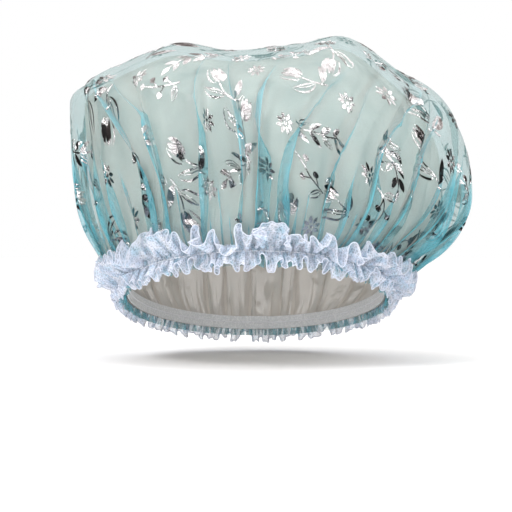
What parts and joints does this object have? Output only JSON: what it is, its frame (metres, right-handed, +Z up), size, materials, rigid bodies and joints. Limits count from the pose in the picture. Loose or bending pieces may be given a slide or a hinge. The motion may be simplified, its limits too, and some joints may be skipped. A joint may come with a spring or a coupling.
{
  "type": "shower cap",
  "caption": "Bouffant shower cap of sheer gathered fabric over a frosted waterproof liner, held on the head by an elastic rim under a lace ruffle.",
  "frame": {"origin": "centre of the head opening, at mid-height of the elastic rim", "axes": "+Z up through the crown, -Y towards the wearer's forehead, +X towards the wearer's left, as worn"},
  "size_m": [0.2433, 0.2442, 0.1931],
  "materials": {
    "sheer_fabric": "sheer turquoise woven fabric with silver foil print",
    "frosted_film": "frosted translucent film",
    "elastic": "knitted elastic tape",
    "lace": "white net lace with corded edges",
    "thread": "polyester sewing thread"
  },
  "bodies": {
    "root": {"outer_cover": "sheer_fabric", "inner_liner": "frosted_film", "elastic_band": "elastic", "lace_ruffle": "lace", "needle_thread": "thread", "bobbin_thread": "thread"}
  },
  "joints": []
}
